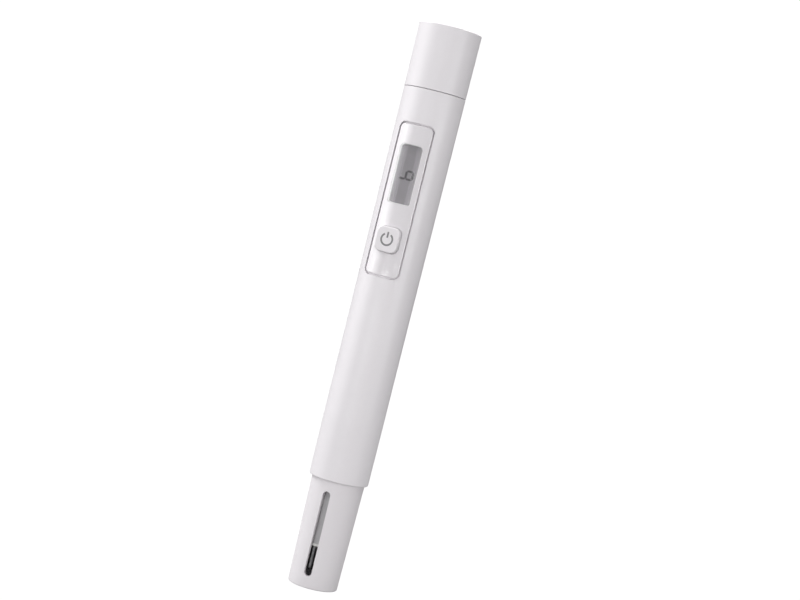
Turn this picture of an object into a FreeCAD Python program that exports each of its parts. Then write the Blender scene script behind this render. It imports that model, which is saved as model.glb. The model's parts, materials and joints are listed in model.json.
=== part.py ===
import FreeCAD, Part
import math
import os
import re

import Sketcher

# A pen-shaped pH tester.  The pen stands on the mouth of its probe sleeve, the tail is up (+Z), the
# display and the button face the front (-Y), and the origin is the middle of the mouth.
# All sizes are millimetres.  "radius" is a distance from the pen's long axis and "height" is a
# distance above the mouth.  "depth" words ending in front, back, face or end are distances from the
# long axis towards the front.

DIMENSIONS = [
    ("overall_length", 150.0),
    ("cut_overrun", 1.0),
    # barrel: the long tapered housing
    ("rim_height", 28.8),
    ("rim_radius", 7.92),
    ("rim_rounding", 0.35),
    ("grip_radius", 7.99),
    ("grip_bottom", 45.0),
    ("grip_top", 65.0),
    ("seam_height", 132.95),
    ("seam_radius", 8.21),
    ("seam_gap", 0.14),
    ("seam_chamfer", 0.10),
    ("bore_radius", 6.95),
    ("socket_radius", 7.22),
    ("socket_top", 41.0),
    ("seat_radius", 7.35),
    ("seat_depth", 1.68),
    # tail cap: the battery cover that pulls off
    ("tail_radius", 8.33),
    ("cap_bore_radius", 6.85),
    ("cap_roof", 1.4),
    ("cap_rounding", 0.4),
    ("cap_lead_in", 0.35),
    # front panel and its recess in the barrel
    ("panel_height", 103.55),
    ("panel_length", 39.76),
    ("panel_width", 8.96),
    ("panel_corner", 1.3),
    ("panel_groove", 0.42),
    ("panel_inset", 0.12),
    ("panel_rounding", 0.35),
    ("ledge_radius", 7.30),
    ("opening_width", 7.3),
    ("opening_length", 35.4),
    ("opening_corner", 1.0),
    # clear display window
    ("window_height", 110.45),
    ("window_length", 15.5),
    ("window_width", 6.1),
    ("window_upper_corner", 1.0),
    ("window_lower_corner", 0.5),
    ("window_fit", 0.03),
    ("window_inset", 0.15),
    ("window_back", 6.45),
    # power button
    ("button_height", 93.15),
    ("button_width", 6.2),
    ("button_length", 6.7),
    ("button_corner", 1.7),
    ("button_face", 9.05),
    ("button_rounding", 0.4),
    ("button_fit", 0.10),
    ("flange_width", 6.8),
    ("flange_length", 8.2),
    ("flange_corner", 1.2),
    ("flange_radius", 6.80),
    ("flange_back", 5.6),
    ("stem_radius", 1.5),
    ("stem_end", 5.22),
    ("gasket_radius", 6.90),
    ("gasket_width", 7.1),
    ("gasket_length", 8.8),
    # liquid crystal display
    ("glass_width", 7.0),
    ("glass_front", 6.12),
    ("glass_plate", 0.75),
    ("glass_long_plate", 19.0),
    ("glass_short_plate", 15.4),
    ("bezel_front", 6.42),
    ("bezel_width", 6.8),
    ("bezel_length", 18.6),
    ("bezel_corner", 0.5),
    ("view_width", 5.5),
    ("view_length", 15.3),
    ("frame_width", 8.6),
    ("frame_length", 21.6),
    ("frame_front", 5.2),
    ("frame_slack", 0.05),
    ("zebra_width", 6.4),
    ("zebra_thickness", 1.4),
    ("zebra_offset", 8.6),
    # circuit board and what is soldered on it
    ("board_front", 2.6),
    ("board_thickness", 1.0),
    ("board_width", 12.4),
    ("board_bottom", 52.0),
    ("board_top", 127.5),
    ("switch_size", 6.0),
    ("switch_front", 4.6),
    ("switch_bore_end", 3.7),
    ("plunger_radius", 1.4),
    ("plunger_front", 5.2),
    ("plunger_back", 4.2),
    ("plunger_clearance", 0.05),
    ("controller_height", 75.0),
    ("controller_size", 7.0),
    ("controller_thickness", 1.2),
    ("amplifier_height", 64.0),
    ("amplifier_width", 5.0),
    ("amplifier_length", 4.0),
    ("amplifier_thickness", 1.5),
    ("crystal_height", 83.5),
    ("crystal_radius", 1.0),
    ("crystal_length", 6.0),
    ("chip_width", 0.8),
    ("chip_length", 1.6),
    ("chip_thickness", 0.6),
    ("chip_column", 4.8),
    ("chip_lowest", 56.0),
    ("chip_pitch", 4.6),
    # screws that hold the board on the chassis
    ("screw_lower", 57.5),
    ("screw_upper", 123.6),
    ("screw_radius", 0.8),
    ("screw_length", 5.5),
    ("screw_head_radius", 1.4),
    ("screw_head_height", 0.8),
    ("screw_cross_reach", 0.84),
    ("screw_cross_side", 0.17),
    ("screw_slack", 0.02),
    ("boss_radius", 1.9),
    ("boss_bite", 0.3),
    # chassis: rear tray, flange and battery neck in one moulding
    ("chassis_radius", 6.85),
    ("chassis_inner_radius", 5.7),
    ("chassis_bottom", 43.6),
    ("collar_top", 47.0),
    ("rail_front", 1.58),
    ("base_bottom", 128.0),
    ("shoulder_radius", 7.30),
    ("shoulder_bottom", 131.2),
    ("shoulder_top", 132.6),
    ("neck_radius", 6.78),
    ("neck_top", 148.3),
    ("neck_chamfer", 0.4),
    ("pocket_radius", 5.85),
    ("pocket_bottom", 135.6),
    ("pocket_top", 147.3),
    ("neck_groove_bottom", 133.5),
    ("neck_groove_top", 134.7),
    ("neck_groove_radius", 5.95),
    ("neck_ring_section", 0.43),
    # button cells and their contacts
    ("cell_radius", 5.8),
    ("cell_thickness", 5.4),
    ("cell_rim", 5.05),
    ("cell_cap_radius", 4.8),
    ("cell_edge", 0.2),
    ("strip_thickness", 0.25),
    ("strip_half_width", 1.5),
    ("strip_slack", 0.1),
    ("positive_half_width", 1.0),
    ("positive_plate", 2.5),
    ("positive_leg_end", 126.2),
    ("negative_rear", 6.15),
    ("negative_jog_height", 135.2),
    ("negative_leg_inner", 3.6),
    ("negative_leg_side", 4.0),
    ("negative_leg_start", 2.0),
    ("negative_jog_rear", 4.6),
    ("negative_foot_height", 126.6),
    ("negative_foot_end", 125.2),
    ("negative_dimple_radius", 1.2),
    # probe sleeve
    ("sleeve_top", 38.0),
    ("sleeve_shank_radius", 7.17),
    ("sleeve_shank_bottom", 30.4),
    ("sleeve_neck_radius", 7.06),
    ("mouth_radius", 6.58),
    ("sleeve_bore_radius", 5.6),
    ("mouth_rounding", 0.3),
    ("slot_width", 2.1),
    ("slot_bottom", 3.2),
    ("slot_top", 26.0),
    ("slot_turn", 1.5),
    # combination electrode
    ("electrode_radius", 4.9),
    ("electrode_bottom", 11.6),
    ("electrode_top", 44.5),
    ("electrode_flange_radius", 7.17),
    ("chamber_radius", 2.65),
    ("electrode_groove_bottom", 38.9),
    ("electrode_groove_top", 40.1),
    ("electrode_groove_radius", 6.3),
    ("electrode_ring_section", 0.45),
    ("junction_bottom", 11.0),
    ("bulb_radius", 2.6),
    ("bulb_height", 6.4),
    ("bulb_wall", 0.3),
    ("stem_glass_radius", 1.75),
    ("stem_glass_wall", 0.4),
    ("stem_glass_top", 41.0),
    ("glass_slack", 0.05),
    ("wire_radius", 0.2),
    ("wire_slack", 0.02),
    ("silver_wire_bottom", 6.0),
    ("reference_wire_bottom", 14.0),
    ("reference_wire_side", 2.2),
    ("wire_top", 46.5),
    # temperature pin beside the bulb
    ("pin_radius", 0.95),
    ("pin_bore_radius", 0.7),
    ("pin_side", -0.65),
    ("pin_front", 3.7),
    ("pin_bottom", 4.4),
    ("pin_floor", 0.5),
    ("pin_top", 20.0),
    ("pin_slack", 0.02),
    ("bead_radius", 0.5),
    ("bead_length", 1.8),
    ("lead_hole_radius", 0.6),
    # insulated leads from the electrode to the board
    ("lead_radius", 0.4),
    ("lead_bend", 1.5),
    ("lead_foot", 55.0),
    ("lead_gap", 0.02),
    ("lead_rise", 2.5),
    ("front_lead_rise", 2.0),
    ("lead_entry", 0.5),
    ("glass_lead_side", 2.5),
    ("reference_lead_side", 2.8),
]

CHIP_ROWS = 7

doc = FreeCAD.newDocument("ph_pen")
dims = doc.addObject("Spreadsheet::Sheet", "dims")
for row, (alias, number) in enumerate(DIMENSIONS, start=1):
    dims.set(f"A{row}", alias)
    dims.set(f"B{row}", str(number))
    dims.setAlias(f"B{row}", alias)
doc.recompute()


# ---------------------------------------------------------------- helpers

def bound(text):
    """The same expression with each size name pointing at its cell of the sheet."""
    return re.sub(r"[a-z]+(?:_[a-z]+)+", lambda word: "dims." + word.group(), text)


def amount(text):
    """The number that an expression of size names comes to."""
    return float(dims.evalExpression(bound(text)))


def plane(body, role):
    """One of a body's own origin planes."""
    return next(item for item in body.Origin.OriginFeatures if item.Role == role)


def polygon(sketch, outline):
    """A closed outline of straight lines whose corners are held by expressions."""
    corners = [FreeCAD.Vector(amount(across), amount(up), 0) for across, up in outline]
    count = len(corners)
    for index, corner in enumerate(corners):
        sketch.addGeometry(Part.LineSegment(corner, corners[(index + 1) % count]))
    for index in range(count):
        sketch.addConstraint(Sketcher.Constraint("Coincident", index, 2, (index + 1) % count, 1))
    for index, (across, up) in enumerate(outline):
        if across == "0":
            sketch.addConstraint(Sketcher.Constraint("PointOnObject", index, 1, -2))
        else:
            place = Sketcher.Constraint("DistanceX", -1, 1, index, 1, amount(across))
            sketch.setExpression(f"Constraints[{sketch.addConstraint(place)}]", bound(across))
        if up == "0":
            sketch.addConstraint(Sketcher.Constraint("PointOnObject", index, 1, -1))
        else:
            place = Sketcher.Constraint("DistanceY", -1, 1, index, 1, amount(up))
            sketch.setExpression(f"Constraints[{sketch.addConstraint(place)}]", bound(up))


def front_sketch(body, name, outline, distance="0"):
    """A sketch that faces the front, at a distance from the long axis."""
    sketch = body.newObject("Sketcher::SketchObject", name)
    sketch.AttachmentSupport = (plane(body, "XZ_Plane"), [""])
    sketch.MapMode = "FlatFace"
    if distance != "0":
        sketch.setExpression("AttachmentOffset.Base.z", bound(distance))
    polygon(sketch, outline)
    return sketch


def edges_where(shape, test):
    """Names of the edges that pass a test."""
    return [f"Edge{number}" for number, edge in enumerate(shape.Edges, start=1) if test(edge)]


def circle_at(radius, height):
    """A test for round edges about the long axis, by their size and height."""
    def test(edge):
        if not isinstance(edge.Curve, Part.Circle):
            return False
        same_size = abs(edge.Curve.Radius - amount(radius)) < 1e-4
        return same_size and abs(edge.Curve.Center.z - amount(height)) < 1e-4
    return test


def dressed(body, kind, test, size):
    """Round or bevel the edges of a body's last feature that pass a test."""
    doc.recompute()
    base = body.Tip
    feature = body.newObject(f"PartDesign::{kind}", f"{body.Name}_{kind.lower()}")
    names = edges_where(base.Shape, test)
    if not names:
        raise RuntimeError(f"{body.Name}: no edge to dress")
    feature.Base = (base, names)
    feature.setExpression("Radius" if kind == "Fillet" else "Size", bound(size))
    doc.recompute()
    return feature


def turned(label, outline):
    """A body turned about the long axis from (radius, height) corners."""
    body = doc.addObject("PartDesign::Body", label)
    sketch = front_sketch(body, f"{label}_outline", outline)
    turn = body.newObject("PartDesign::Revolution", f"{label}_turn")
    turn.Profile = sketch
    turn.ReferenceAxis = (sketch, ["V_Axis"])
    turn.Angle = 360
    doc.recompute()
    return body


def rounded_block(label, width, length, height, back, front, upper, lower):
    """A front-facing block with rounded upper and lower corners, between two distances."""
    half = f"({width}) / 2"
    top = f"({height}) + ({length}) / 2"
    bottom = f"({height}) - ({length}) / 2"
    outline = [(f"-{half}", bottom), (half, bottom), (half, top), (f"-{half}", top)]
    body = doc.addObject("PartDesign::Body", label)
    sketch = front_sketch(body, f"{label}_outline", outline, back)
    pad = body.newObject("PartDesign::Pad", f"{label}_pad")
    pad.Profile = sketch
    pad.setExpression("Length", bound(f"({front}) - ({back})"))
    middle = amount(height)

    def runs_forward(edge):
        ends = [vertex.Point for vertex in edge.Vertexes]
        straight = len(ends) == 2 and abs(ends[0].x - ends[1].x) < 1e-6
        return straight and abs(ends[0].z - ends[1].z) < 1e-6

    def sharp_corner(edge):
        return abs(abs(edge.Vertexes[0].X) - amount(half)) < 1e-6

    dressed(body, "Fillet", lambda edge: runs_forward(edge) and edge.Vertexes[0].Z > middle, upper)
    dressed(
        body, "Fillet",
        lambda edge: runs_forward(edge) and edge.Vertexes[0].Z < middle and sharp_corner(edge),
        lower,
    )
    return body


def box(label, across, deep, high):
    """A block between pairs of expressions along X, Y and Z."""
    block = doc.addObject("Part::Box", label)
    for side, axis, (start, end) in zip(("Length", "Width", "Height"), "xyz", (across, deep, high)):
        block.setExpression(side, bound(f"({end}) - ({start})"))
        block.setExpression(f"Placement.Base.{axis}", bound(start))
    return block


CYLINDER_TURNS = {
    "x": FreeCAD.Rotation(FreeCAD.Vector(0, 1, 0), 90),
    "y": FreeCAD.Rotation(FreeCAD.Vector(1, 0, 0), -90),
    "z": FreeCAD.Rotation(),
}


def rod(label, radius, axis, start, end, centre=("0", "0")):
    """A cylinder along one axis; its centre is given on the other two axes in their order."""
    cylinder = doc.addObject("Part::Cylinder", label)
    cylinder.Placement = FreeCAD.Placement(FreeCAD.Vector(), CYLINDER_TURNS[axis])
    cylinder.setExpression("Radius", bound(radius))
    cylinder.setExpression("Height", bound(f"({end}) - ({start})"))
    cylinder.setExpression(f"Placement.Base.{axis}", bound(start))
    for other, place in zip("xyz".replace(axis, ""), centre):
        cylinder.setExpression(f"Placement.Base.{other}", bound(place))
    return cylinder


def ball(label, radius, height):
    """A sphere on the long axis."""
    sphere = doc.addObject("Part::Sphere", label)
    sphere.setExpression("Radius", bound(radius))
    sphere.setExpression("Placement.Base.z", bound(height))
    return sphere


def o_ring(label, section, inner, height):
    """A rubber ring that lies on a groove's floor."""
    ring = doc.addObject("Part::Torus", label)
    ring.setExpression("Radius1", bound(f"({inner}) + ({section})"))
    ring.setExpression("Radius2", bound(section))
    ring.setExpression("Placement.Base.z", bound(height))
    return ring


def fused(label, *parts):
    union = doc.addObject("Part::MultiFuse", label)
    union.Shapes = list(parts)
    union.Refine = True
    return union


def cut(label, base, *tools):
    result = doc.addObject("Part::Cut", label)
    result.Base = base
    result.Tool = tools[0] if len(tools) == 1 else fused(f"{label}_tools", *tools)
    result.Refine = True
    return result


def common(label, first, second):
    result = doc.addObject("Part::Common", label)
    result.Base = first
    result.Tool = second
    result.Refine = True
    return result


def grouped(label, parts):
    """Separate solids that share one node."""
    group = doc.addObject("Part::Compound", label)
    group.Links = list(parts)
    return group


def barrel_radius(height, inset):
    """The barrel's outer radius at a height above the grip, less an inset."""
    slope = "(seam_radius - grip_radius) / (seam_height - grip_top)"
    return f"grip_radius + (({height}) - grip_top) * {slope} - ({inset})"


def barrel_core(label, inset, inner):
    """A wall that follows the barrel's taper at an inset, from an inner radius, around the panel."""
    low = "panel_height - panel_length"
    high = "panel_height + panel_length"
    return turned(label, [
        (inner, low),
        (barrel_radius(low, inset), low),
        (barrel_radius(high, inset), high),
        (inner, high),
    ])


# ---------------------------------------------------------------- housing

def barrel():
    """Tapered tube with a parallel grip, a sleeve socket, a chassis seat and the panel's recess."""
    top = "seam_height - seam_gap / 2"
    tube = turned("barrel_tube", [
        ("socket_radius", "rim_height"),
        ("rim_radius", "rim_height"),
        ("grip_radius", "grip_bottom"),
        ("grip_radius", "grip_top"),
        (barrel_radius(f"{top} - seam_chamfer", "0"), f"{top} - seam_chamfer"),
        (barrel_radius(top, "seam_chamfer"), top),
        ("seat_radius", top),
        ("seat_radius", f"{top} - seat_depth"),
        ("bore_radius", f"{top} - seat_depth"),
        ("bore_radius", "socket_top"),
        ("socket_radius", "socket_top"),
    ])
    dressed(tube, "Fillet", circle_at("rim_radius", "rim_height"), "rim_rounding")
    recess_block = rounded_block(
        "recess_block", "panel_width + 2 * panel_groove", "panel_length + 2 * panel_groove",
        "panel_height", "0", "seam_radius + cut_overrun", "panel_corner + panel_groove",
        "panel_corner + panel_groove",
    )
    recess_floor = rod(
        "recess_floor", "ledge_radius", "z", "panel_height - panel_length",
        "panel_height + panel_length",
    )
    recess = cut("panel_recess", recess_block, recess_floor)
    opening = rounded_block(
        "panel_opening", "opening_width", "opening_length", "panel_height", "0",
        "seam_radius + cut_overrun", "opening_corner", "opening_corner",
    )
    return cut("barrel", tube, recess, opening)


def tail_cap():
    """Battery cover: a cup that pushes over the neck."""
    bottom = "seam_height + seam_gap / 2"
    cup = turned("tail_cap", [
        ("cap_bore_radius + cap_lead_in", bottom),
        ("seam_radius - seam_chamfer", bottom),
        ("seam_radius", f"{bottom} + seam_chamfer"),
        ("tail_radius", "overall_length"),
        ("0", "overall_length"),
        ("0", "overall_length - cap_roof"),
        ("cap_bore_radius", "overall_length - cap_roof"),
        ("cap_bore_radius", f"{bottom} + cap_lead_in"),
    ])
    dressed(cup, "Fillet", circle_at("tail_radius", "overall_length"), "cap_rounding")
    return cup


def front_panel():
    """Glossy curved plate that fills the recess, with openings for the window and the button."""
    plate_block = rounded_block(
        "panel_block", "panel_width", "panel_length", "panel_height", "0", "seam_radius + cut_overrun",
        "panel_corner", "panel_corner",
    )
    plate = common("panel_plate", plate_block, barrel_core("panel_wall", "panel_inset", "ledge_radius"))
    doc.recompute()
    middle = (amount("ledge_radius") + amount("grip_radius")) / 2

    def on_face(edge):
        return all(math.hypot(vertex.X, vertex.Y) > middle for vertex in edge.Vertexes)

    radius = amount("panel_rounding")
    softened = doc.addObject("Part::Fillet", "panel_softened")
    softened.Base = plate
    softened.Edges = [(int(name[4:]), radius, radius) for name in edges_where(plate.Shape, on_face)]
    window_hole = rounded_block(
        "window_hole", "window_width + 2 * window_fit", "window_length + 2 * window_fit",
        "window_height", "0", "seam_radius + cut_overrun", "window_upper_corner + window_fit",
        "window_lower_corner + window_fit",
    )
    button_hole = rounded_block(
        "button_hole", "button_width + 2 * button_fit", "button_length + 2 * button_fit",
        "button_height", "0", "seam_radius + cut_overrun", "button_corner + button_fit",
        "button_corner + button_fit",
    )
    return cut("front_panel", softened, window_hole, button_hole)


def display_window():
    """Clear block with a curved face that follows the panel and a flat back."""
    block = rounded_block(
        "window_block", "window_width", "window_length", "window_height", "window_back",
        "seam_radius + cut_overrun", "window_upper_corner", "window_lower_corner",
    )
    return common("display_window", block, barrel_core("window_wall", "window_inset", "0"))


# ---------------------------------------------------------------- button and display

def power_button():
    """Rounded square key with a curved flange behind the panel and a stem for the switch."""
    key = rounded_block(
        "button_key", "button_width", "button_length", "button_height", "flange_back",
        "button_face", "button_corner", "button_corner",
    )

    def on_face(edge):
        return all(abs(vertex.Y + amount("button_face")) < 1e-6 for vertex in edge.Vertexes)

    dressed(key, "Fillet", on_face, "button_rounding")
    flange_block = rounded_block(
        "flange_block", "flange_width", "flange_length", "button_height", "flange_back",
        "button_face", "flange_corner", "flange_corner",
    )
    flange_limit = rod(
        "flange_limit", "flange_radius", "z", "button_height - flange_length",
        "button_height + flange_length",
    )
    flange = common("button_flange", flange_block, flange_limit)
    stem = rod(
        "button_stem", "stem_radius", "y", "-flange_back - stem_radius / 2", "-stem_end",
        ("0", "button_height"),
    )
    return fused("power_button", key, flange, stem)


def button_gasket():
    """Silicone ring on the back of the panel, around the button."""
    outside = rounded_block(
        "gasket_block", "gasket_width", "gasket_length", "button_height", "stem_radius",
        "seam_radius + cut_overrun", "flange_corner", "flange_corner",
    )
    wall = turned("gasket_wall", [
        ("gasket_radius", "button_height - gasket_length"),
        ("ledge_radius", "button_height - gasket_length"),
        ("ledge_radius", "button_height + gasket_length"),
        ("gasket_radius", "button_height + gasket_length"),
    ])
    hole = rounded_block(
        "gasket_hole", "button_width + 2 * button_fit", "button_length + 2 * button_fit",
        "button_height", "0", "seam_radius + 2 * cut_overrun", "button_corner + button_fit",
        "button_corner + button_fit",
    )
    return cut("button_gasket", common("gasket_sheet", outside, wall), hole)


def glass_box(label, length, front, back):
    """A plate of the display, centred behind the window."""
    return box(
        label, ("-glass_width / 2", "glass_width / 2"), (f"-({front})", f"-({back})"),
        (f"window_height - ({length}) / 2", f"window_height + ({length}) / 2"),
    )


def lcd_glass():
    """Two glass plates; the front one overhangs, and its overhang carries the contacts."""
    front = glass_box(
        "lcd_front_plate", "glass_long_plate", "glass_front", "glass_front - glass_plate")
    rear = glass_box(
        "lcd_rear_plate", "glass_short_plate", "glass_front - glass_plate",
        "glass_front - 2 * glass_plate",
    )
    return fused("lcd_glass", front, rear)


def lcd_bezel():
    """Thin white frame on the display's front that borders the part seen through the window."""
    outside = rounded_block(
        "bezel_block", "bezel_width", "bezel_length", "window_height", "glass_front", "bezel_front",
        "bezel_corner", "bezel_corner",
    )
    inside = rounded_block(
        "bezel_hole", "view_width", "view_length", "window_height", "0", "seam_radius",
        "window_upper_corner", "window_lower_corner",
    )
    return cut("lcd_bezel", outside, inside)


def lcd_frame():
    """Moulded frame that holds the display on the board."""
    outside = box(
        "frame_outside", ("-frame_width / 2", "frame_width / 2"), ("-frame_front", "-board_front"),
        ("window_height - frame_length / 2", "window_height + frame_length / 2"),
    )
    half_width = "glass_width / 2 + frame_slack"
    half_length = "glass_long_plate / 2 + frame_slack"
    inside = box(
        "frame_inside", (f"-({half_width})", half_width), ("-button_face", "0"),
        (f"window_height - ({half_length})", f"window_height + {half_length}"),
    )
    return cut("lcd_frame", outside, inside)


def zebra_strip(place, side):
    """Rubber connector between the front plate's overhang and the board."""
    centre = f"window_height + {side} * zebra_offset"
    return box(
        f"zebra_strip_{place}", ("-zebra_width / 2", "zebra_width / 2"),
        ("-(glass_front - glass_plate)", "-board_front"),
        (f"{centre} - zebra_thickness / 2", f"{centre} + zebra_thickness / 2"),
    )


def switch_body():
    """Square tactile switch on the board, with a round well for its plunger."""
    half = "switch_size / 2"
    case = box(
        "switch_case", (f"-{half}", half), ("-switch_front", "-board_front"),
        (f"button_height - {half}", f"button_height + {half}"),
    )
    well = rod(
        "switch_well", "plunger_radius + plunger_clearance", "y", "-switch_front - cut_overrun",
        "-switch_bore_end", ("0", "button_height"),
    )
    return cut("switch_body", case, well)


def switch_plunger():
    return rod(
        "switch_plunger", "plunger_radius", "y", "-plunger_front", "-plunger_back",
        ("0", "button_height"),
    )


# ---------------------------------------------------------------- circuit board

def main_pcb():
    """Long board with clearance holes for its two screws."""
    board = box(
        "board_blank", ("-board_width / 2", "board_width / 2"),
        ("-board_front", "board_thickness - board_front"), ("board_bottom", "board_top"),
    )
    holes = [
        rod(
            f"board_hole_{place}", "screw_radius + screw_slack", "y", "-board_front - cut_overrun",
            "board_thickness - board_front + cut_overrun", ("0", f"screw_{place}"),
        )
        for place in ("lower", "upper")
    ]
    return cut("main_pcb", board, *holes)


def chip_on_board(label, width, length, thickness, height, side="0"):
    """A flat package on the front of the board."""
    return box(
        label, (f"{side} - ({width}) / 2", f"{side} + ({width}) / 2"),
        (f"-board_front - ({thickness})", "-board_front"),
        (f"({height}) - ({length}) / 2", f"({height}) + ({length}) / 2"),
    )


def microcontroller():
    return chip_on_board(
        "microcontroller", "controller_size", "controller_size", "controller_thickness",
        "controller_height",
    )


def amplifier_chip():
    return chip_on_board(
        "amplifier_chip", "amplifier_width", "amplifier_length", "amplifier_thickness",
        "amplifier_height",
    )


def crystal():
    """Clock crystal in a small can that lies across the board."""
    return rod(
        "crystal", "crystal_radius", "x", "-crystal_length / 2", "crystal_length / 2",
        ("-board_front - crystal_radius", "crystal_height"),
    )


def smd_parts():
    """Resistors and capacitors in two columns beside the chips."""
    chips = [
        chip_on_board(
            f"smd_{name}_{row}", "chip_width", "chip_length", "chip_thickness",
            f"chip_lowest + {row} * chip_pitch", f"{sign} * chip_column",
        )
        for name, sign in (("left", -1), ("right", 1))
        for row in range(CHIP_ROWS)
    ]
    return grouped("smd_parts", chips)


def pcb_screws():
    """Two small pan-head screws through the board into the chassis bosses."""
    screws = []
    for place in ("lower", "upper"):
        centre = ("0", f"screw_{place}")
        head = rod(
            f"screw_head_{place}", "screw_head_radius", "y", "-board_front - screw_head_height",
            "-board_front", centre,
        )
        shank = rod(
            f"screw_shank_{place}", "screw_radius", "y", "-board_front - screw_head_height / 2",
            "screw_length - board_front", centre,
        )
        recess = [
            box(
                f"screw_cross_{place}_{name}", (f"-{wide}", wide),
                ("-board_front - screw_head_height - cut_overrun", "-board_front - screw_head_height / 2"),
                (f"screw_{place} - {tall}", f"screw_{place} + {tall}"),
            )
            for name, wide, tall in (
                ("level", "screw_cross_reach", "screw_cross_side"),
                ("upright", "screw_cross_side", "screw_cross_reach"),
            )
        ]
        screws.append(cut(f"screw_{place}_piece", fused(f"screw_{place}_blank", head, shank), *recess))
    return grouped("pcb_screws", screws)


# ---------------------------------------------------------------- chassis and battery

def chassis_blank():
    """Turned blank of the chassis: tray wall, shoulder and battery neck with its ring groove."""
    blank = turned("chassis_blank", [
        ("chassis_inner_radius", "chassis_bottom"),
        ("chassis_radius", "chassis_bottom"),
        ("chassis_radius", "shoulder_bottom"),
        ("shoulder_radius", "shoulder_bottom"),
        ("shoulder_radius", "shoulder_top"),
        ("neck_radius", "shoulder_top"),
        ("neck_radius", "neck_groove_bottom"),
        ("neck_groove_radius", "neck_groove_bottom"),
        ("neck_groove_radius", "neck_groove_top"),
        ("neck_radius", "neck_groove_top"),
        ("neck_radius", "neck_top"),
        ("0", "neck_top"),
        ("0", "base_bottom"),
        ("chassis_inner_radius", "base_bottom"),
    ])
    dressed(blank, "Chamfer", circle_at("neck_radius", "neck_top"), "neck_chamfer")
    return blank


def screw_boss(place):
    """A post from the tray wall to the back of the board."""
    post = rod(
        f"boss_{place}", "boss_radius", "y", "-rail_front", "chassis_inner_radius + boss_bite",
        ("0", f"screw_{place}"),
    )
    hole = rod(
        f"boss_hole_{place}", "screw_radius + screw_slack", "y", "-rail_front - cut_overrun",
        "screw_length - board_front + boss_bite", ("0", f"screw_{place}"),
    )
    return cut(f"boss_{place}_drilled", post, hole)


def chassis():
    """Rear tray with rails for the board, two screw bosses and the battery pocket."""
    wide = "seam_radius + cut_overrun"
    front_gap = box(
        "tray_front_gap", (f"-({wide})", wide), (f"-({wide})", "-rail_front"),
        ("collar_top", "base_bottom"),
    )
    cell_pocket = rod("cell_pocket", "pocket_radius", "z", "pocket_bottom", "pocket_top")
    cell_gate = box(
        "cell_gate", ("-pocket_radius", "pocket_radius"), (f"-({wide})", "0"),
        ("pocket_bottom", "pocket_top"),
    )
    positive_side = "positive_half_width + strip_slack"
    positive_slot = box(
        "positive_slot", (f"-({positive_side})", positive_side),
        ("-board_front - strip_thickness - strip_slack", "-board_front + strip_slack"),
        ("base_bottom - cut_overrun", "pocket_bottom + cut_overrun"),
    )
    strip_side = "strip_half_width + strip_slack"
    rear_groove = box(
        "rear_groove", (f"-({strip_side})", strip_side),
        ("negative_leg_inner - strip_slack", "negative_rear + strip_slack / 2"),
        ("negative_jog_height - strip_slack", "pocket_top"),
    )
    jog_recess = box(
        "jog_recess", ("0", "negative_leg_side + strip_slack"),
        ("negative_leg_inner - strip_slack", "negative_jog_rear + strip_slack"),
        ("negative_jog_height - strip_slack", "pocket_bottom"),
    )
    leg_slot = box(
        "leg_slot", ("negative_leg_start - strip_slack", "negative_leg_side + strip_slack"),
        (
            "negative_leg_inner - strip_slack",
            "negative_leg_inner + strip_thickness + strip_slack",
        ),
        ("base_bottom - cut_overrun", "pocket_bottom"),
    )
    tray = cut(
        "chassis_tray", chassis_blank(), front_gap, cell_pocket, cell_gate, positive_slot,
        rear_groove, jog_recess, leg_slot,
    )
    return fused("chassis", tray, screw_boss("lower"), screw_boss("upper"))


def cap_o_ring():
    return o_ring(
        "cap_o_ring", "neck_ring_section", "neck_groove_radius",
        "(neck_groove_bottom + neck_groove_top) / 2",
    )


def battery_contact_positive():
    """Plate under the lower cell, with a leg down to the board."""
    plate = box(
        "positive_plate_piece", ("-positive_plate", "positive_plate"),
        ("-board_front - strip_thickness", "positive_plate"),
        ("pocket_bottom", "pocket_bottom + strip_thickness"),
    )
    leg = box(
        "positive_leg", ("-positive_half_width", "positive_half_width"),
        ("-board_front - strip_thickness", "-board_front"),
        ("positive_leg_end", "pocket_bottom + strip_thickness / 2"),
    )
    return fused("battery_contact_positive", plate, leg)


def battery_contact_negative():
    """Strip over the upper cell, down the rear wall and through the base to the board."""
    side = ("-strip_half_width", "strip_half_width")
    leg_side = ("negative_leg_start", "negative_leg_side")
    leg_deep = ("negative_leg_inner", "negative_leg_inner + strip_thickness")
    jog = ("negative_jog_height", "negative_jog_height + strip_thickness")
    foot_level = ("negative_foot_height", "negative_foot_height + strip_thickness")
    runs = [
        box(
            "negative_top", side, ("-positive_plate", "negative_rear"),
            ("pocket_top - strip_thickness", "pocket_top"),
        ),
        box(
            "negative_back", side, ("negative_rear - strip_thickness", "negative_rear"),
            ("negative_jog_height", "pocket_top"),
        ),
        box("negative_jog_middle", side, ("negative_leg_inner", "negative_rear"), jog),
        box(
            "negative_jog_side", ("0", "negative_leg_side"),
            ("negative_leg_inner", "negative_jog_rear"), jog,
        ),
        box(
            "negative_leg", leg_side, leg_deep,
            ("negative_foot_height", "negative_jog_height + strip_thickness"),
        ),
        box(
            "negative_foot", leg_side,
            ("board_thickness - board_front", "negative_leg_inner + strip_thickness"), foot_level,
        ),
        box(
            "negative_tab", leg_side,
            (
                "board_thickness - board_front",
                "board_thickness - board_front + strip_thickness",
            ),
            ("negative_foot_end", "negative_foot_height + strip_thickness"),
        ),
        rod(
            "negative_dimple", "negative_dimple_radius", "z",
            "pocket_bottom + strip_thickness + 2 * cell_thickness", "pocket_top",
        ),
    ]
    return fused("battery_contact_negative", *runs)


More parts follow.
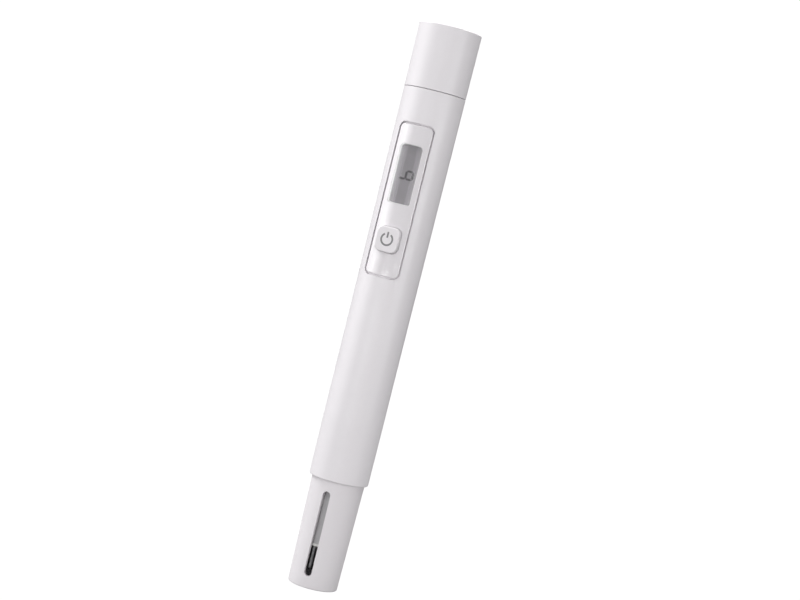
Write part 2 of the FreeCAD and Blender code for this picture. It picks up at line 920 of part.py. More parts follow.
def button_cell(place, order):
    """A 1.5 V cell, 11.6 mm across and 5.4 mm high, positive can down."""
    foot = f"pocket_bottom + strip_thickness + {order} * cell_thickness"
    return turned(f"button_cell_{place}", [
        ("0", foot),
        ("cell_radius - cell_edge", foot),
        ("cell_radius", f"{foot} + cell_edge"),
        ("cell_radius", f"{foot} + cell_rim - cell_edge"),
        ("cell_radius - cell_edge", f"{foot} + cell_rim"),
        ("cell_cap_radius + cell_edge", f"{foot} + cell_rim"),
        ("cell_cap_radius", f"{foot} + cell_thickness"),
        ("0", f"{foot} + cell_thickness"),
    ])


# ---------------------------------------------------------------- probe end

def probe_sleeve():
    """Tapered guard round the electrode, open at the mouth, with a slot front and rear."""
    tube = turned("sleeve_tube", [
        ("sleeve_bore_radius", "0"),
        ("mouth_radius", "0"),
        ("sleeve_neck_radius", "rim_height"),
        ("sleeve_neck_radius", "sleeve_shank_bottom"),
        ("sleeve_shank_radius", "sleeve_shank_bottom"),
        ("sleeve_shank_radius", "sleeve_top"),
        ("sleeve_bore_radius", "sleeve_top"),
    ])
    dressed(tube, "Fillet", circle_at("mouth_radius", "0"), "mouth_rounding")
    half = "slot_width / 2"
    reach = "sleeve_shank_radius + cut_overrun"
    middle = box(
        "slot_middle", (f"-{half}", half), (f"-({reach})", reach),
        (f"slot_bottom + {half}", f"slot_top - {half}"),
    )
    ends = [
        rod(f"slot_end_{name}", half, "y", f"-({reach})", reach, ("0", place))
        for name, place in (("low", f"slot_bottom + {half}"), ("high", f"slot_top - {half}"))
    ]
    slot = fused("sleeve_slot", middle, *ends)
    slot.Placement = FreeCAD.Placement(FreeCAD.Vector(), FreeCAD.Rotation(FreeCAD.Vector(0, 0, 1), 1))
    slot.setExpression("Placement.Rotation.Angle", bound("slot_turn"))
    return cut("probe_sleeve", tube, slot)


def electrode_body():
    """Plastic body of the electrode: reference chamber, pin hole and a clamped flange."""
    blank = turned("electrode_blank", [
        ("chamber_radius", "electrode_bottom"),
        ("electrode_radius", "electrode_bottom"),
        ("electrode_radius", "sleeve_top"),
        ("electrode_flange_radius", "sleeve_top"),
        ("electrode_flange_radius", "electrode_groove_bottom"),
        ("electrode_groove_radius", "electrode_groove_bottom"),
        ("electrode_groove_radius", "electrode_groove_top"),
        ("electrode_flange_radius", "electrode_groove_top"),
        ("electrode_flange_radius", "socket_top"),
        ("electrode_radius", "socket_top"),
        ("electrode_radius", "electrode_top"),
        ("chamber_radius", "electrode_top"),
    ])
    centre = ("pin_side", "-pin_front")
    pin_hole = rod(
        "pin_hole", "pin_radius + pin_slack", "z", "electrode_bottom - cut_overrun", "pin_top", centre)
    lead_hole = rod(
        "pin_lead_hole", "lead_hole_radius", "z", "pin_top - cut_overrun",
        "electrode_top + cut_overrun", centre,
    )
    return cut("electrode_body", blank, pin_hole, lead_hole)


def electrode_o_ring():
    return o_ring(
        "electrode_o_ring", "electrode_ring_section", "electrode_groove_radius",
        "(electrode_groove_bottom + electrode_groove_top) / 2",
    )


def reference_junction():
    """White porous ring that closes the reference chamber round the glass stem."""
    ring = turned("junction_blank", [
        ("stem_glass_radius + glass_slack", "junction_bottom"),
        ("electrode_radius", "junction_bottom"),
        ("electrode_radius", "electrode_bottom"),
        ("stem_glass_radius + glass_slack", "electrode_bottom"),
    ])
    hole = rod(
        "junction_hole", "pin_radius + pin_slack", "z", "junction_bottom - cut_overrun",
        "electrode_bottom + cut_overrun", ("pin_side", "-pin_front"),
    )
    return cut("reference_junction", ring, hole)


def glass_electrode():
    """Thin glass stem blown into a bulb at its lower end."""
    outside = fused(
        "glass_outside", ball("bulb_outside", "bulb_radius", "bulb_height"),
        rod("stem_outside", "stem_glass_radius", "z", "bulb_height", "stem_glass_top"),
    )
    inside = fused(
        "glass_inside", ball("bulb_inside", "bulb_radius - bulb_wall", "bulb_height"),
        rod(
            "stem_inside", "stem_glass_radius - stem_glass_wall", "z", "bulb_height",
            "stem_glass_top + cut_overrun",
        ),
    )
    return cut("glass_electrode", outside, inside)


def silver_wire():
    return rod("silver_wire", "wire_radius", "z", "silver_wire_bottom", "wire_top")


def reference_wire():
    return rod(
        "reference_wire", "wire_radius", "z", "reference_wire_bottom", "wire_top",
        ("reference_wire_side", "0"),
    )


def potting_seal():
    """Resin plug in the top of the chamber, cast round the two wires."""
    plug = rod("potting_blank", "chamber_radius", "z", "stem_glass_top", "electrode_top")
    holes = [
        rod(
            f"potting_hole_{name}", "wire_radius + wire_slack", "z", "stem_glass_top - cut_overrun",
            "electrode_top + cut_overrun", (side, "0"),
        )
        for name, side in (("middle", "0"), ("side", "reference_wire_side"))
    ]
    return cut("potting_seal", plug, *holes)


def temperature_pin():
    """Stainless tube, closed at its lower end, that reaches down beside the bulb."""
    centre = ("pin_side", "-pin_front")
    outside = rod("pin_outside", "pin_radius", "z", "pin_bottom + pin_radius", "pin_top", centre)
    tip = doc.addObject("Part::Sphere", "pin_tip")
    tip.setExpression("Radius", bound("pin_radius"))
    for axis, place in zip("xyz", (*centre, "pin_bottom + pin_radius")):
        tip.setExpression(f"Placement.Base.{axis}", bound(place))
    inside = rod(
        "pin_inside", "pin_bore_radius", "z", "pin_bottom + pin_floor", "pin_top + cut_overrun", centre)
    return cut("temperature_pin", fused("pin_blank", outside, tip), inside)


def thermistor():
    """Temperature sensor bead at the bottom of the pin."""
    start = "pin_bottom + pin_floor + glass_slack"
    return rod(
        "thermistor", "bead_radius", "z", start, f"{start} + bead_length", ("pin_side", "-pin_front"))


# ---------------------------------------------------------------- leads

def lead(label, corners):
    """A round insulated lead along straight runs joined by tangent arcs."""
    points = [FreeCAD.Vector(*(amount(value) for value in corner)) for corner in corners]
    bend = amount("lead_bend")
    edges = []
    start = points[0]
    for before, corner, after in zip(points, points[1:], points[2:]):
        back = (before - corner).normalize()
        onward = (after - corner).normalize()
        half_angle = back.getAngle(onward) / 2
        enter = corner + back * (bend / math.tan(half_angle))
        leave = corner + onward * (bend / math.tan(half_angle))
        inward = (back + onward).normalize()
        middle = corner + inward * (bend / math.sin(half_angle) - bend)
        edges.append(Part.LineSegment(start, enter).toShape())
        edges.append(Part.Arc(enter, middle, leave).toShape())
        start = leave
    edges.append(Part.LineSegment(start, points[-1]).toShape())
    section = Part.Circle(points[0], points[1] - points[0], amount("lead_radius")).toShape()
    feature = doc.addObject("Part::Feature", label)
    feature.Shape = Part.Wire(edges).makePipeShell([Part.Wire([section])], True, False)
    feature.Placement = FreeCAD.Placement()
    return feature


def rear_lead(label, from_side, to_side):
    """A lead from the top of an electrode wire to the back of the board."""
    deep = "board_thickness - board_front + lead_radius + lead_gap"
    return lead(label, [
        (from_side, "0", "wire_top + lead_gap"),
        (from_side, "0", "wire_top + lead_rise"),
        (to_side, deep, "board_bottom + lead_entry"),
        (to_side, deep, "lead_foot"),
    ])


def thermistor_lead():
    """A lead from the bead, up inside the pin and the electrode, to the front of the board."""
    deep = "-board_front - lead_radius - lead_gap"
    bead_top = "pin_bottom + pin_floor + glass_slack + bead_length"
    return lead("thermistor_lead", [
        ("pin_side", "-pin_front", f"{bead_top} + lead_gap"),
        ("pin_side", "-pin_front", "wire_top + front_lead_rise"),
        ("pin_side", deep, "board_bottom + lead_entry"),
        ("pin_side", deep, "lead_foot"),
    ])


# ---------------------------------------------------------------- assembly

SUBPARTS = [
    barrel(),
    tail_cap(),
    front_panel(),
    display_window(),
    power_button(),
    button_gasket(),
    lcd_glass(),
    lcd_bezel(),
    lcd_frame(),
    zebra_strip("upper", 1),
    zebra_strip("lower", -1),
    switch_body(),
    switch_plunger(),
    main_pcb(),
    microcontroller(),
    amplifier_chip(),
    crystal(),
    smd_parts(),
    pcb_screws(),
    chassis(),
    cap_o_ring(),
    battery_contact_positive(),
    battery_contact_negative(),
    button_cell("lower", 0),
    button_cell("upper", 1),
    probe_sleeve(),
    electrode_body(),
    electrode_o_ring(),
    reference_junction(),
    glass_electrode(),
    silver_wire(),
    reference_wire(),
    potting_seal(),
    temperature_pin(),
    thermistor(),
    rear_lead("glass_lead", "0", "-glass_lead_side"),
    rear_lead("reference_lead", "reference_wire_side", "reference_lead_side"),
    thermistor_lead(),
]
doc.recompute()

for item in doc.Objects:
    if "Invalid" in item.State or "Error" in item.State:
        raise RuntimeError(f"{item.Label} did not compute: {item.State}")
for part in SUBPARTS:
    if part.Shape.isNull() or not part.Shape.isValid() or not part.Shape.Solids:
        raise RuntimeError(f"{part.Label} has no valid solid")

os.makedirs("parts", exist_ok=True)
for part in SUBPARTS:
    part.Shape.exportStep(f"parts/{part.Label}.step")
    print(f"{part.Label}: {len(part.Shape.Solids)} solid(s), {part.Shape.Volume:.1f} mm3")
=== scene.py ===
import json
import math

import bmesh
import bpy
from mathutils import Matrix, Vector


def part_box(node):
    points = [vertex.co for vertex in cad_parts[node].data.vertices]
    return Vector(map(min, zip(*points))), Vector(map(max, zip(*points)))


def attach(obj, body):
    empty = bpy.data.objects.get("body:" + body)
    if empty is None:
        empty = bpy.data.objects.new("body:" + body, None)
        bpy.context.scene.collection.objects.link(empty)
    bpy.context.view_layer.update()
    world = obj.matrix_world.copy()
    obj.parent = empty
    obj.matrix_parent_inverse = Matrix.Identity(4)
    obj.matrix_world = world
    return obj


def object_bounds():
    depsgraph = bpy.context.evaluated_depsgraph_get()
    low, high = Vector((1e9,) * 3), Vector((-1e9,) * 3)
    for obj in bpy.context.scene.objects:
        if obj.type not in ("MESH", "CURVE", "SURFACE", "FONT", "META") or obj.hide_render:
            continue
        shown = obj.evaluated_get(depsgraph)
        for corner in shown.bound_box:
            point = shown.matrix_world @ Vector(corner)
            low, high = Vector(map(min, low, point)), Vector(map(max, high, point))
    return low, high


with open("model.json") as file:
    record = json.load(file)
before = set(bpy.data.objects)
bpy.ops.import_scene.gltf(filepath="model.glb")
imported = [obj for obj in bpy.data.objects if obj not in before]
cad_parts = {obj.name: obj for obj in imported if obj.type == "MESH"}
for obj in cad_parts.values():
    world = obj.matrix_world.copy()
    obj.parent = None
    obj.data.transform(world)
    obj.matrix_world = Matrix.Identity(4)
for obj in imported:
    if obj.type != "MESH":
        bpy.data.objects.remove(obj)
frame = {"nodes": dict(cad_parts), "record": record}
CAD_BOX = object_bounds()
MM = 0.001

# Sockets of the mix node that carry its colours: they share their names with its other types
FIRST_COLOUR = 6
SECOND_COLOUR = 7
MIXED_COLOUR = 2


# ---------------------------------------------------------------- shader helpers

def new_material(name):
    """An empty node material, its node tree and a Principled shader wired to the output."""
    material = bpy.data.materials.new(name)
    material.use_nodes = True
    tree = material.node_tree
    tree.nodes.clear()
    output = tree.nodes.new("ShaderNodeOutputMaterial")
    shader = tree.nodes.new("ShaderNodeBsdfPrincipled")
    tree.links.new(shader.outputs["BSDF"], output.inputs["Surface"])
    return material, tree, shader


def feed(tree, value, socket):
    """Link a socket to another one, or set it to a constant."""
    if isinstance(value, bpy.types.NodeSocket):
        tree.links.new(value, socket)
    else:
        socket.default_value = value


def output_of(tree):
    """The output node of a material's tree."""
    return next(node for node in tree.nodes if node.type == "OUTPUT_MATERIAL")


def add(tree, kind, inputs=None, **settings):
    """A node with its settings and inputs; each input is a constant or another node's socket."""
    node = tree.nodes.new(kind)
    for key, value in settings.items():
        setattr(node, key, value)
    for key, value in (inputs or {}).items():
        feed(tree, value, node.inputs[key])
    return node


def switch_by_ray(tree, ray, usual, special, output):
    """One shader for a kind of ray and another for all the rest."""
    mixer = add(tree, "ShaderNodeMixShader")
    tree.links.new(add(tree, "ShaderNodeLightPath").outputs[ray], mixer.inputs[0])
    tree.links.new(usual.outputs[0], mixer.inputs[1])
    tree.links.new(special.outputs[0], mixer.inputs[2])
    tree.links.new(mixer.outputs[0], output.inputs["Surface"])


def place(tree):
    """Where a point is in the row frame, in metres."""
    return add(tree, "ShaderNodeTexCoord").outputs["Object"]


def scaled(tree, factors, turn=(0, 0, 0)):
    """Where a point is, turned and multiplied along each axis."""
    inputs = {"Vector": place(tree), "Rotation": turn, "Scale": factors}
    return add(tree, "ShaderNodeMapping", inputs).outputs["Vector"]


def noise(tree, size, detail=3.0, roughness=0.5, stretch=(1, 1, 1)):
    """Soft noise from 0 to 1 with features of about the given size in metres."""
    where = scaled(tree, [factor / size for factor in stretch])
    inputs = {"Vector": where, "Scale": 1.0, "Detail": detail, "Roughness": roughness}
    return add(tree, "ShaderNodeTexNoise", inputs).outputs["Fac"]


def spread(tree, value, low, high, start=0.3, end=0.7):
    """The value's middle stretch turned into a range."""
    inputs = {"Value": value, "From Min": start, "From Max": end, "To Min": low, "To Max": high}
    return add(tree, "ShaderNodeMapRange", inputs).outputs["Result"]


def mottle(tree, size, detail=3.0):
    """Cloudy patches of about the given size in metres, from 0 to 1."""
    return spread(tree, noise(tree, size, detail), 0.0, 1.0)


def maths(tree, operation, first, second):
    """The sum, product or other result of two values."""
    node = add(tree, "ShaderNodeMath", operation=operation)
    feed(tree, first, node.inputs[0])
    feed(tree, second, node.inputs[1])
    return node.outputs[0]


def blend_colour(tree, factor, first, second):
    """A mix of two colours, each an (r, g, b) or a socket."""
    node = add(tree, "ShaderNodeMix", data_type="RGBA")
    tree.links.new(factor, node.inputs["Factor"])
    for index, value in ((FIRST_COLOUR, first), (SECOND_COLOUR, second)):
        is_socket = isinstance(value, bpy.types.NodeSocket)
        feed(tree, value if is_socket else (*value, 1.0), node.inputs[index])
    return node.outputs[MIXED_COLOUR]


def bump(tree, height, depth, under=None):
    """A bump of the given depth in metres, on top of another bump if there is one."""
    inputs = {"Height": height, "Distance": depth, "Strength": 1.0}
    if under is not None:
        inputs["Normal"] = under
    return add(tree, "ShaderNodeBump", inputs).outputs["Normal"]


def shade(colour, amount):
    """A colour made lighter or darker."""
    return tuple(min(1.0, channel * amount) for channel in colour)


def dress(tree, shader, colour, roughness, relief):
    """Wire a surface's colour, roughness and relief."""
    tree.links.new(colour, shader.inputs["Base Color"])
    tree.links.new(roughness, shader.inputs["Roughness"])
    tree.links.new(relief, shader.inputs["Normal"])


def corner_mask(tree, radius):
    """1 along a piece's sharp or rounded edges and 0 on its open faces."""
    rounded = add(tree, "ShaderNodeBevel", {"Radius": radius}, samples=4).outputs["Normal"]
    plain = add(tree, "ShaderNodeNewGeometry").outputs["Normal"]
    product = add(tree, "ShaderNodeVectorMath", operation="DOT_PRODUCT")
    tree.links.new(rounded, product.inputs[0])
    tree.links.new(plain, product.inputs[1])
    return spread(tree, product.outputs["Value"], 1.0, 0.0, 0.90, 0.995)


# ---------------------------------------------------------------- materials

def moulded(name, colour, roughness, grain=0.18 * MM, depth=0.004 * MM, edge=1.03):
    """Moulded plastic: cloudy tone, spark-eroded grain and edges rubbed smooth and lighter."""
    material, tree, shader = new_material(name)
    cloud = mottle(tree, 14 * MM, 4.0)
    fleck = maths(tree, "MULTIPLY", mottle(tree, 0.9 * MM, 2.0), 0.12)
    rubbed = corner_mask(tree, 0.3 * MM)
    tone = blend_colour(tree, cloud, shade(colour, 0.985), shade(colour, 1.01))
    specked = blend_colour(tree, fleck, tone, shade(colour, 0.95))
    worn = blend_colour(tree, maths(tree, "MULTIPLY", rubbed, 0.5), specked, shade(colour, edge))
    dull = spread(tree, noise(tree, 4 * MM), roughness - 0.03, roughness + 0.04)
    polish = maths(tree, "MULTIPLY", rubbed, roughness * 0.25)
    relief = bump(tree, noise(tree, grain, 2.0), depth)
    dress(tree, shader, worn, maths(tree, "SUBTRACT", dull, polish), relief)
    return material


def polished(name, colour, roughness, specular=0.5):
    """Polished plastic: nearly even colour, a slow ripple in the surface and hairline scuffs."""
    material, tree, shader = new_material(name)
    cloud = mottle(tree, 12 * MM)
    tone = blend_colour(tree, cloud, shade(colour, 0.985), shade(colour, 1.01))
    scuff = noise(tree, 1.6 * MM, 4.0, 0.65, stretch=(1, 1, 9))
    scuffed = spread(tree, scuff, roughness, roughness + 0.07, 0.55, 0.8)
    ripple = bump(tree, noise(tree, 6 * MM, 1.0), 0.012 * MM)
    relief = bump(tree, noise(tree, 0.3 * MM, 2.0), 0.0006 * MM, under=ripple)
    dress(tree, shader, tone, scuffed, relief)
    shader.inputs["Specular IOR Level"].default_value = specular
    return material


def metal(name, colour, roughness, grain=(1, 1, 1)):
    """Bare or plated metal with a drawn grain and a cloudy polish."""
    material, tree, shader = new_material(name)
    streak = noise(tree, 0.4 * MM, 3.0, 0.6, stretch=grain)
    tone = blend_colour(tree, mottle(tree, 3 * MM), shade(colour, 0.9), shade(colour, 1.05))
    faint = maths(tree, "MULTIPLY", streak, 0.3)
    drawn = blend_colour(tree, faint, tone, shade(colour, 0.75))
    dull = spread(tree, streak, roughness, roughness + 0.12)
    dress(tree, shader, drawn, dull, bump(tree, streak, 0.003 * MM))
    shader.inputs["Metallic"].default_value = 1.0
    return material


def rubber(name, colour, roughness):
    """Rubber: softly mottled, with a faint bloom."""
    material, tree, shader = new_material(name)
    bloom = mottle(tree, 1.2 * MM, 4.0)
    tone = blend_colour(tree, bloom, colour, shade(colour, 1.8))
    dull = spread(tree, bloom, roughness - 0.08, roughness + 0.1)
    dress(tree, shader, tone, dull, bump(tree, noise(tree, 0.2 * MM, 2.0), 0.006 * MM))
    return material


def clear(name, tint, ior):
    """Clear pane or thin glass that lets lamps through to what is behind it."""
    material, tree, shader = new_material(name)
    tone = blend_colour(tree, mottle(tree, 5 * MM), tint, shade(tint, 0.985))
    smear = noise(tree, 2 * MM, 4.0, 0.6, stretch=(1, 1, 4))
    gloss = spread(tree, smear, 0.01, 0.05, 0.5, 0.8)
    dress(tree, shader, tone, gloss, bump(tree, noise(tree, 8 * MM, 1.0), 0.004 * MM))
    shader.inputs["Transmission Weight"].default_value = 1.0
    shader.inputs["IOR"].default_value = ior
    open_air = add(tree, "ShaderNodeBsdfTransparent", {"Color": (*tint, 1.0)})
    switch_by_ray(tree, "Is Shadow Ray", shader, open_air, output_of(tree))
    return material


def display_grey(name):
    """Reflective display: grey polariser, faintly clouded, with a satin film grain."""
    material, tree, shader = new_material(name)
    cloud = mottle(tree, 4 * MM)
    grey = blend_colour(tree, cloud, (0.208, 0.194, 0.206), (0.228, 0.212, 0.226))
    grain = spread(tree, noise(tree, 0.16 * MM, 2.0), 0.0, 0.25)
    speckled = blend_colour(tree, grain, grey, (0.184, 0.172, 0.184))
    dull = spread(tree, cloud, 0.34, 0.42)
    dress(tree, shader, speckled, dull, bump(tree, noise(tree, 0.2 * MM, 2.0), 0.002 * MM))
    return material


def copper_runs(tree):
    """Long brick-like runs of copper under a green mask."""
    inputs = {
        "Vector": scaled(tree, (900, 900, 900), (math.radians(90), 0, 0)),
        "Color1": (0.012, 0.16, 0.055, 1),
        "Color2": (0.02, 0.21, 0.075, 1),
        "Mortar": (0.008, 0.11, 0.035, 1),
        "Scale": 1.0,
        "Mortar Size": 0.06,
        "Brick Width": 2.6,
        "Row Height": 0.7,
    }
    return add(tree, "ShaderNodeTexBrick", inputs)


def tinned_pads(tree):
    """1 on small scattered pads and 0 between them."""
    inputs = {"Vector": scaled(tree, (420, 420, 420)), "Scale": 1.0}
    dots = add(tree, "ShaderNodeTexVoronoi", inputs)
    return spread(tree, dots.outputs["Distance"], 1.0, 0.0, 0.12, 0.17)


def board_green(name):
    """Circuit board: green mask over copper runs, with tinned pads."""
    material, tree, shader = new_material(name)
    runs = copper_runs(tree)
    pad = tinned_pads(tree)
    tone = blend_colour(tree, pad, runs.outputs["Color"], (0.62, 0.6, 0.52))
    dull = spread(tree, pad, 0.32, 0.22, 0.0, 1.0)
    dress(tree, shader, tone, dull, bump(tree, runs.outputs["Fac"], 0.02 * MM))
    return material


def striped_rubber(name):
    """Display connector: thin conductive layers between insulating ones."""
    material, tree, shader = new_material(name)
    inputs = {"Vector": scaled(tree, (4000, 4000, 4000)), "Scale": 1.0, "Distortion": 0.4}
    wave = add(tree, "ShaderNodeTexWave", inputs, wave_type="BANDS", bands_direction="X")
    layer = wave.outputs["Fac"]
    tone = blend_colour(tree, layer, (0.02, 0.02, 0.02), (0.5, 0.35, 0.38))
    dull = spread(tree, layer, 0.45, 0.6, 0.0, 1.0)
    dress(tree, shader, tone, dull, bump(tree, layer, 0.01 * MM))
    return material


def ink(name, colour):
    """Printed or displayed mark with slightly uneven cover."""
    material, tree, shader = new_material(name)
    cover = mottle(tree, 0.5 * MM)
    tone = blend_colour(tree, cover, colour, shade(colour, 1.12))
    dull = spread(tree, cover, 0.45, 0.55)
    dress(tree, shader, tone, dull, bump(tree, cover, 0.002 * MM))
    return material


WHITE = (0.80, 0.776, 0.80)
MATERIALS = {
    "abs_satin_white": moulded("abs_satin_white", WHITE, 0.36),
    "abs_matt_white": moulded("abs_matt_white", (0.785, 0.758, 0.782), 0.52, depth=0.007 * MM),
    "gloss_white": polished("gloss_white", (0.79, 0.766, 0.79), 0.07, specular=0.62),
    "clear_window": clear("clear_window", (0.97, 0.975, 0.98), 1.49),
    "button_white": moulded("button_white", WHITE, 0.34),
    "silicone_grey": rubber("silicone_grey", (0.3, 0.3, 0.31), 0.6),
    "display_glass": display_grey("display_glass"),
    "moulded_white": moulded("moulded_white", (0.74, 0.74, 0.73), 0.45),
    "zebra_rubber": striped_rubber("zebra_rubber"),
    "black_plastic": moulded("black_plastic", (0.02, 0.02, 0.021), 0.42, edge=1.8),
    "circuit_board": board_green("circuit_board"),
    "black_epoxy": moulded("black_epoxy", (0.022, 0.022, 0.024), 0.5, edge=1.6),
    "tinned_steel": metal("tinned_steel", (0.62, 0.62, 0.6), 0.3),
    "ceramic_chip": moulded("ceramic_chip", (0.33, 0.24, 0.16), 0.5),
    "zinc_steel": metal("zinc_steel", (0.6, 0.61, 0.62), 0.28),
    "black_rubber": rubber("black_rubber", (0.016, 0.016, 0.017), 0.4),
    "nickel_strip": metal("nickel_strip", (0.68, 0.65, 0.6), 0.22, grain=(1, 1, 0.1)),
    "cell_steel": metal("cell_steel", (0.7, 0.7, 0.69), 0.24, grain=(0.2, 0.2, 6)),
    "electrode_grey": moulded("electrode_grey", (0.50, 0.495, 0.505), 0.4),
    "porous_white": moulded("porous_white", (0.82, 0.82, 0.8), 0.7, 0.12 * MM, 0.01 * MM),
    "bulb_glass": clear("bulb_glass", (0.93, 0.97, 0.97), 1.3),
    "silver": metal("silver", (0.55, 0.53, 0.52), 0.35),
    "potting_resin": polished("potting_resin", (0.03, 0.03, 0.032), 0.15),
    "stainless_pin": metal("stainless_pin", (0.2, 0.2, 0.205), 0.3, grain=(3, 3, 0.4)),
    "bead_epoxy": polished("bead_epoxy", (0.02, 0.02, 0.02), 0.2),
    "lead_white": moulded("lead_white", (0.78, 0.78, 0.77), 0.35),
    "lead_black": moulded("lead_black", (0.02, 0.02, 0.02), 0.35, edge=1.6),
    "lead_red": moulded("lead_red", (0.5, 0.03, 0.03), 0.35),
}
FIGURE_INK = ink("figure_ink", (0.045, 0.042, 0.045))
SYMBOL_INK = ink("symbol_ink", (0.21, 0.21, 0.215))


def dress_cad_nodes():
    """Give each CAD node the material of its slot in the record."""
    for entry in frame["record"]["subparts"]:
        mesh = frame["nodes"][entry["node"]].data
        mesh.materials.clear()
        mesh.materials.append(MATERIALS[entry["material_slot"]])


dress_cad_nodes()


# ---------------------------------------------------------------- marks

def new_piece(name, work, material):
    """An object from a finished mesh, with its one material."""
    mesh = bpy.data.meshes.new(name)
    work.to_mesh(mesh)
    work.free()
    mesh.materials.append(material)
    piece = bpy.data.objects.new(name, mesh)
    bpy.context.scene.collection.objects.link(piece)
    return piece


def prism(outlines, back, front):
    """Thin front-facing prisms from (x, z) outlines between two y places, as one mesh."""
    work = bmesh.new()
    for outline in outlines:
        face = work.faces.new([work.verts.new((x, front, z)) for x, z in outline])
        moved = bmesh.ops.extrude_face_region(work, geom=[face])
        for item in moved["geom"]:
            if isinstance(item, bmesh.types.BMVert):
                item.co.y = back
    bmesh.ops.recalc_face_normals(work, faces=work.faces)
    return work


# The display's figure: it reads with the tail to the right
FIGURE_HEIGHT = 3.3 * MM
FIGURE_WIDTH = 2.1 * MM
FIGURE_STROKE = 0.56 * MM
FIGURE_FOOT = 109.3 * MM
SEGMENT_GAP = 0.035 * MM
FIGURE_PROUD = 0.03 * MM
FIGURE_LIFT = 0.001 * MM
FIGURE_CORNERS = {
    "bottom_left": (0, 0), "middle_left": (0, 0.5), "top_left": (0, 1),
    "bottom_right": (1, 0), "middle_right": (1, 0.5),
}
LIT_SEGMENTS = (
    ("bottom_left", "middle_left"), ("middle_left", "top_left"), ("bottom_left", "bottom_right"),
    ("bottom_right", "middle_right"), ("middle_left", "middle_right"),
)


def figure_point(corner):
    """A corner of the figure as (x, z): text runs up the pen and its top is to the left."""
    across, up = FIGURE_CORNERS[corner]
    return Vector(((0.5 - up) * FIGURE_HEIGHT, FIGURE_FOOT + across * FIGURE_WIDTH))


def segment(first, second):
    """Outline of a seven-segment bar with pointed ends between two corners."""
    start = figure_point(first)
    end = figure_point(second)
    along = (end - start).normalized()
    start = start + along * SEGMENT_GAP
    end = end - along * SEGMENT_GAP
    side = Vector((-along.y, along.x)) * FIGURE_STROKE / 2
    tip = along * FIGURE_STROKE / 2
    points = [start, start + tip + side, end - tip + side]
    points += [end, end - tip - side, start + tip - side]
    return [tuple(point) for point in points]


def display_figure():
    """One seven-segment figure just in front of the display's glass."""
    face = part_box("lcd_glass")[0].y
    outlines = [segment(first, second) for first, second in LIT_SEGMENTS]
    work = prism(outlines, face - FIGURE_LIFT, face - FIGURE_PROUD)
    figure = new_piece("display_figure", work, FIGURE_INK)
    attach(figure, "root")


# The power symbol: an open ring with an upright bar
RING_RADIUS = 1.52 * MM
SYMBOL_STROKE = 0.47 * MM
RING_OPENING = math.radians(33)
RING_STEPS = 48
BAR_FOOT = 0.42 * MM
BAR_TOP = 1.95 * MM
SYMBOL_SUNK = 0.02 * MM
SYMBOL_PROUD = 0.006 * MM


def ring_outline(centre_z):
    """Outline of the open ring: round its outer edge, and back along its inner edge."""
    sweep = 2 * math.pi - 2 * RING_OPENING
    angles = [RING_OPENING + sweep * step / RING_STEPS for step in range(RING_STEPS + 1)]
    outer = RING_RADIUS + SYMBOL_STROKE / 2
    inner = RING_RADIUS - SYMBOL_STROKE / 2
    return [
        (distance * math.sin(angle), centre_z + distance * math.cos(angle))
        for distance, way in ((outer, angles), (inner, angles[::-1]))
        for angle in way
    ]


def bar_outline(centre_z):
    """Outline of the symbol's upright bar."""
    half = SYMBOL_STROKE / 2
    foot = centre_z + BAR_FOOT
    top = centre_z + BAR_TOP
    return [(-half, foot), (half, foot), (half, top), (-half, top)]


def power_symbol():
    """Power symbol printed on the key."""
    low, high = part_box("power_button")
    centre_z = (low.z + high.z) / 2
    outlines = [ring_outline(centre_z), bar_outline(centre_z)]
    work = prism(outlines, low.y + SYMBOL_SUNK, low.y - SYMBOL_PROUD)
    symbol = new_piece("power_symbol", work, SYMBOL_INK)
    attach(symbol, "power_button")


display_figure()
power_symbol()


# ---------------------------------------------------------------- stage, light and camera

PURE_WHITE = (1, 1, 1, 1)
BACKDROP = 1.05
FILL_LIGHT = 0.18
FLOOR_GREY = (0.22, 0.22, 0.22, 1)
FLOOR_ROUGHNESS = 0.9
FLOOR_RADIUS = 4.0
FLOOR_GAP = 0.05 * MM


def floor_white():
    """Pale floor that the camera sees as white, so that it runs into the background."""
    material, tree, shader = new_material("floor_white")
    shader.inputs["Base Color"].default_value = FLOOR_GREY
    shader.inputs["Roughness"].default_value = FLOOR_ROUGHNESS
    glow = add(tree, "ShaderNodeEmission", {"Color": PURE_WHITE, "Strength": BACKDROP})
    switch_by_ray(tree, "Is Camera Ray", shader, glow, output_of(tree))
    return material


def floor():
    """Wide disc just under the pen's mouth."""
    work = bmesh.new()
    bmesh.ops.create_circle(work, cap_ends=True, radius=FLOOR_RADIUS, segments=96)
    bmesh.ops.translate(work, verts=work.verts, vec=(0, 0, CAD_BOX[0].z - FLOOR_GAP))
    new_piece("floor", work, floor_white())


def surroundings():
    """Even studio light; the camera sees it as white."""
    world = bpy.data.worlds.new("studio")
    bpy.context.scene.world = world
    world.use_nodes = True
    tree = world.node_tree
    tree.nodes.clear()
    seen = add(tree, "ShaderNodeBackground", {"Color": PURE_WHITE, "Strength": BACKDROP})
    light = add(tree, "ShaderNodeBackground", {"Color": PURE_WHITE, "Strength": FILL_LIGHT})
    switch_by_ray(tree, "Is Camera Ray", light, seen, add(tree, "ShaderNodeOutputWorld"))


def direction(azimuth, elevation):
    """The way out from the pen: degrees round from its front to the right, and degrees up."""
    turn = math.radians(azimuth)
    rise = math.radians(elevation)
    return Vector((
        math.sin(turn) * math.cos(rise), -math.cos(turn) * math.cos(rise), math.sin(rise)))


LAMP_CENTRE = Vector((0, 0, 0.11))
LAMP_DISTANCE = 0.7


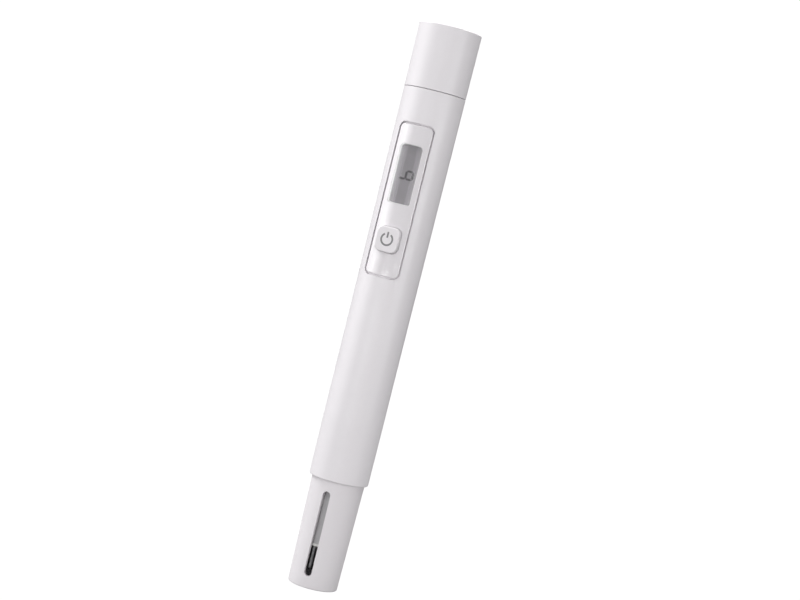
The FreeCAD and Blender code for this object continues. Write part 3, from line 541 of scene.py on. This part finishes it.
def softbox(name, azimuth, elevation, width, tall, radiance, colour=(1, 1, 1)):
    """A rectangular lamp that faces the pen, with a given brightness of its face."""
    lamp = bpy.data.lights.new(name, "AREA")
    lamp.shape = "RECTANGLE"
    lamp.size = width
    lamp.size_y = tall
    lamp.energy = radiance * math.pi * width * tall
    lamp.color = colour
    holder = bpy.data.objects.new(name, lamp)
    bpy.context.scene.collection.objects.link(holder)
    outward = direction(azimuth, elevation)
    holder.location = LAMP_CENTRE + outward * LAMP_DISTANCE
    holder.rotation_mode = "QUATERNION"
    holder.rotation_quaternion = (-outward).to_track_quat("-Z", "Y")
    holder.visible_camera = False


# Soft strips level with the panel, most on the pen's left: azimuth and brightness of each one
STRIP_WIDTH = 0.1225
STRIP_HEIGHT = 0.18
STRIP = (
    (-85, 2.4), (-75, 2.6), (-65, 3.6), (-55, 4.8), (-45, 2.9), (-35, 1.5), (55, 6.0), (75, 10.0))
WARM = (1.0, 0.95, 0.965)


def lamps():
    """Level strips, overhead boxes and low front boxes, with two behind the pen."""
    for azimuth, radiance in STRIP:
        softbox(f"strip_{azimuth}", azimuth, 0, STRIP_WIDTH, STRIP_HEIGHT, radiance)
    # Name, azimuth, elevation, width, height and brightness of each box
    softbox("upper_left", -90, 35, 0.3, 0.3, 13.0)
    softbox("top", 0, 89, 0.4, 0.4, 5.0)
    softbox("upper_front", 8, 35, 0.3, 0.3, 4.4)
    softbox("low_left", -30, -7, 0.3, 0.05, 1.0)
    softbox("low_front", 0, -7, 0.3, 0.05, 13.5)
    softbox("low_right", 30, -7, 0.3, 0.05, 6.6, WARM)
    softbox("rear_left", -150, 55, 0.3, 0.3, 6.0)
    softbox("rear_right", 160, 55, 0.3, 0.3, 10.0)


# The camera's place in degrees and metres, the point it aims at, and its lens in millimetres
CAMERA_AZIMUTH = 18.34
CAMERA_ELEVATION = 2.74
CAMERA_ROLL = math.radians(14.02)
CAMERA_DISTANCE = 0.46141
AIM_HEIGHT = 0.078459
AIM_RIGHT = 0.004225
FOCAL_LENGTH = 79.41


def camera():
    """Long lens a little round to the right, rolled so that the tail leans."""
    away = direction(CAMERA_AZIMUTH, CAMERA_ELEVATION)
    right = direction(CAMERA_AZIMUTH + 90, 0)
    up = away.cross(right)
    target = Vector((0, 0, AIM_HEIGHT)) + right * AIM_RIGHT
    across = right * math.cos(CAMERA_ROLL) + up * math.sin(CAMERA_ROLL)
    upward = up * math.cos(CAMERA_ROLL) - right * math.sin(CAMERA_ROLL)
    lens = bpy.data.cameras.new("camera")
    lens.lens = FOCAL_LENGTH
    lens.sensor_width = 36.0
    lens.clip_start = 0.01
    lens.clip_end = 20.0
    holder = bpy.data.objects.new("camera", lens)
    bpy.context.scene.collection.objects.link(holder)
    turned = Matrix((across, upward, away)).transposed().to_4x4()
    holder.matrix_world = Matrix.Translation(target + away * CAMERA_DISTANCE) @ turned
    bpy.context.scene.camera = holder


floor()
surroundings()
lamps()
camera()
bpy.context.scene.view_settings.view_transform = "Standard"
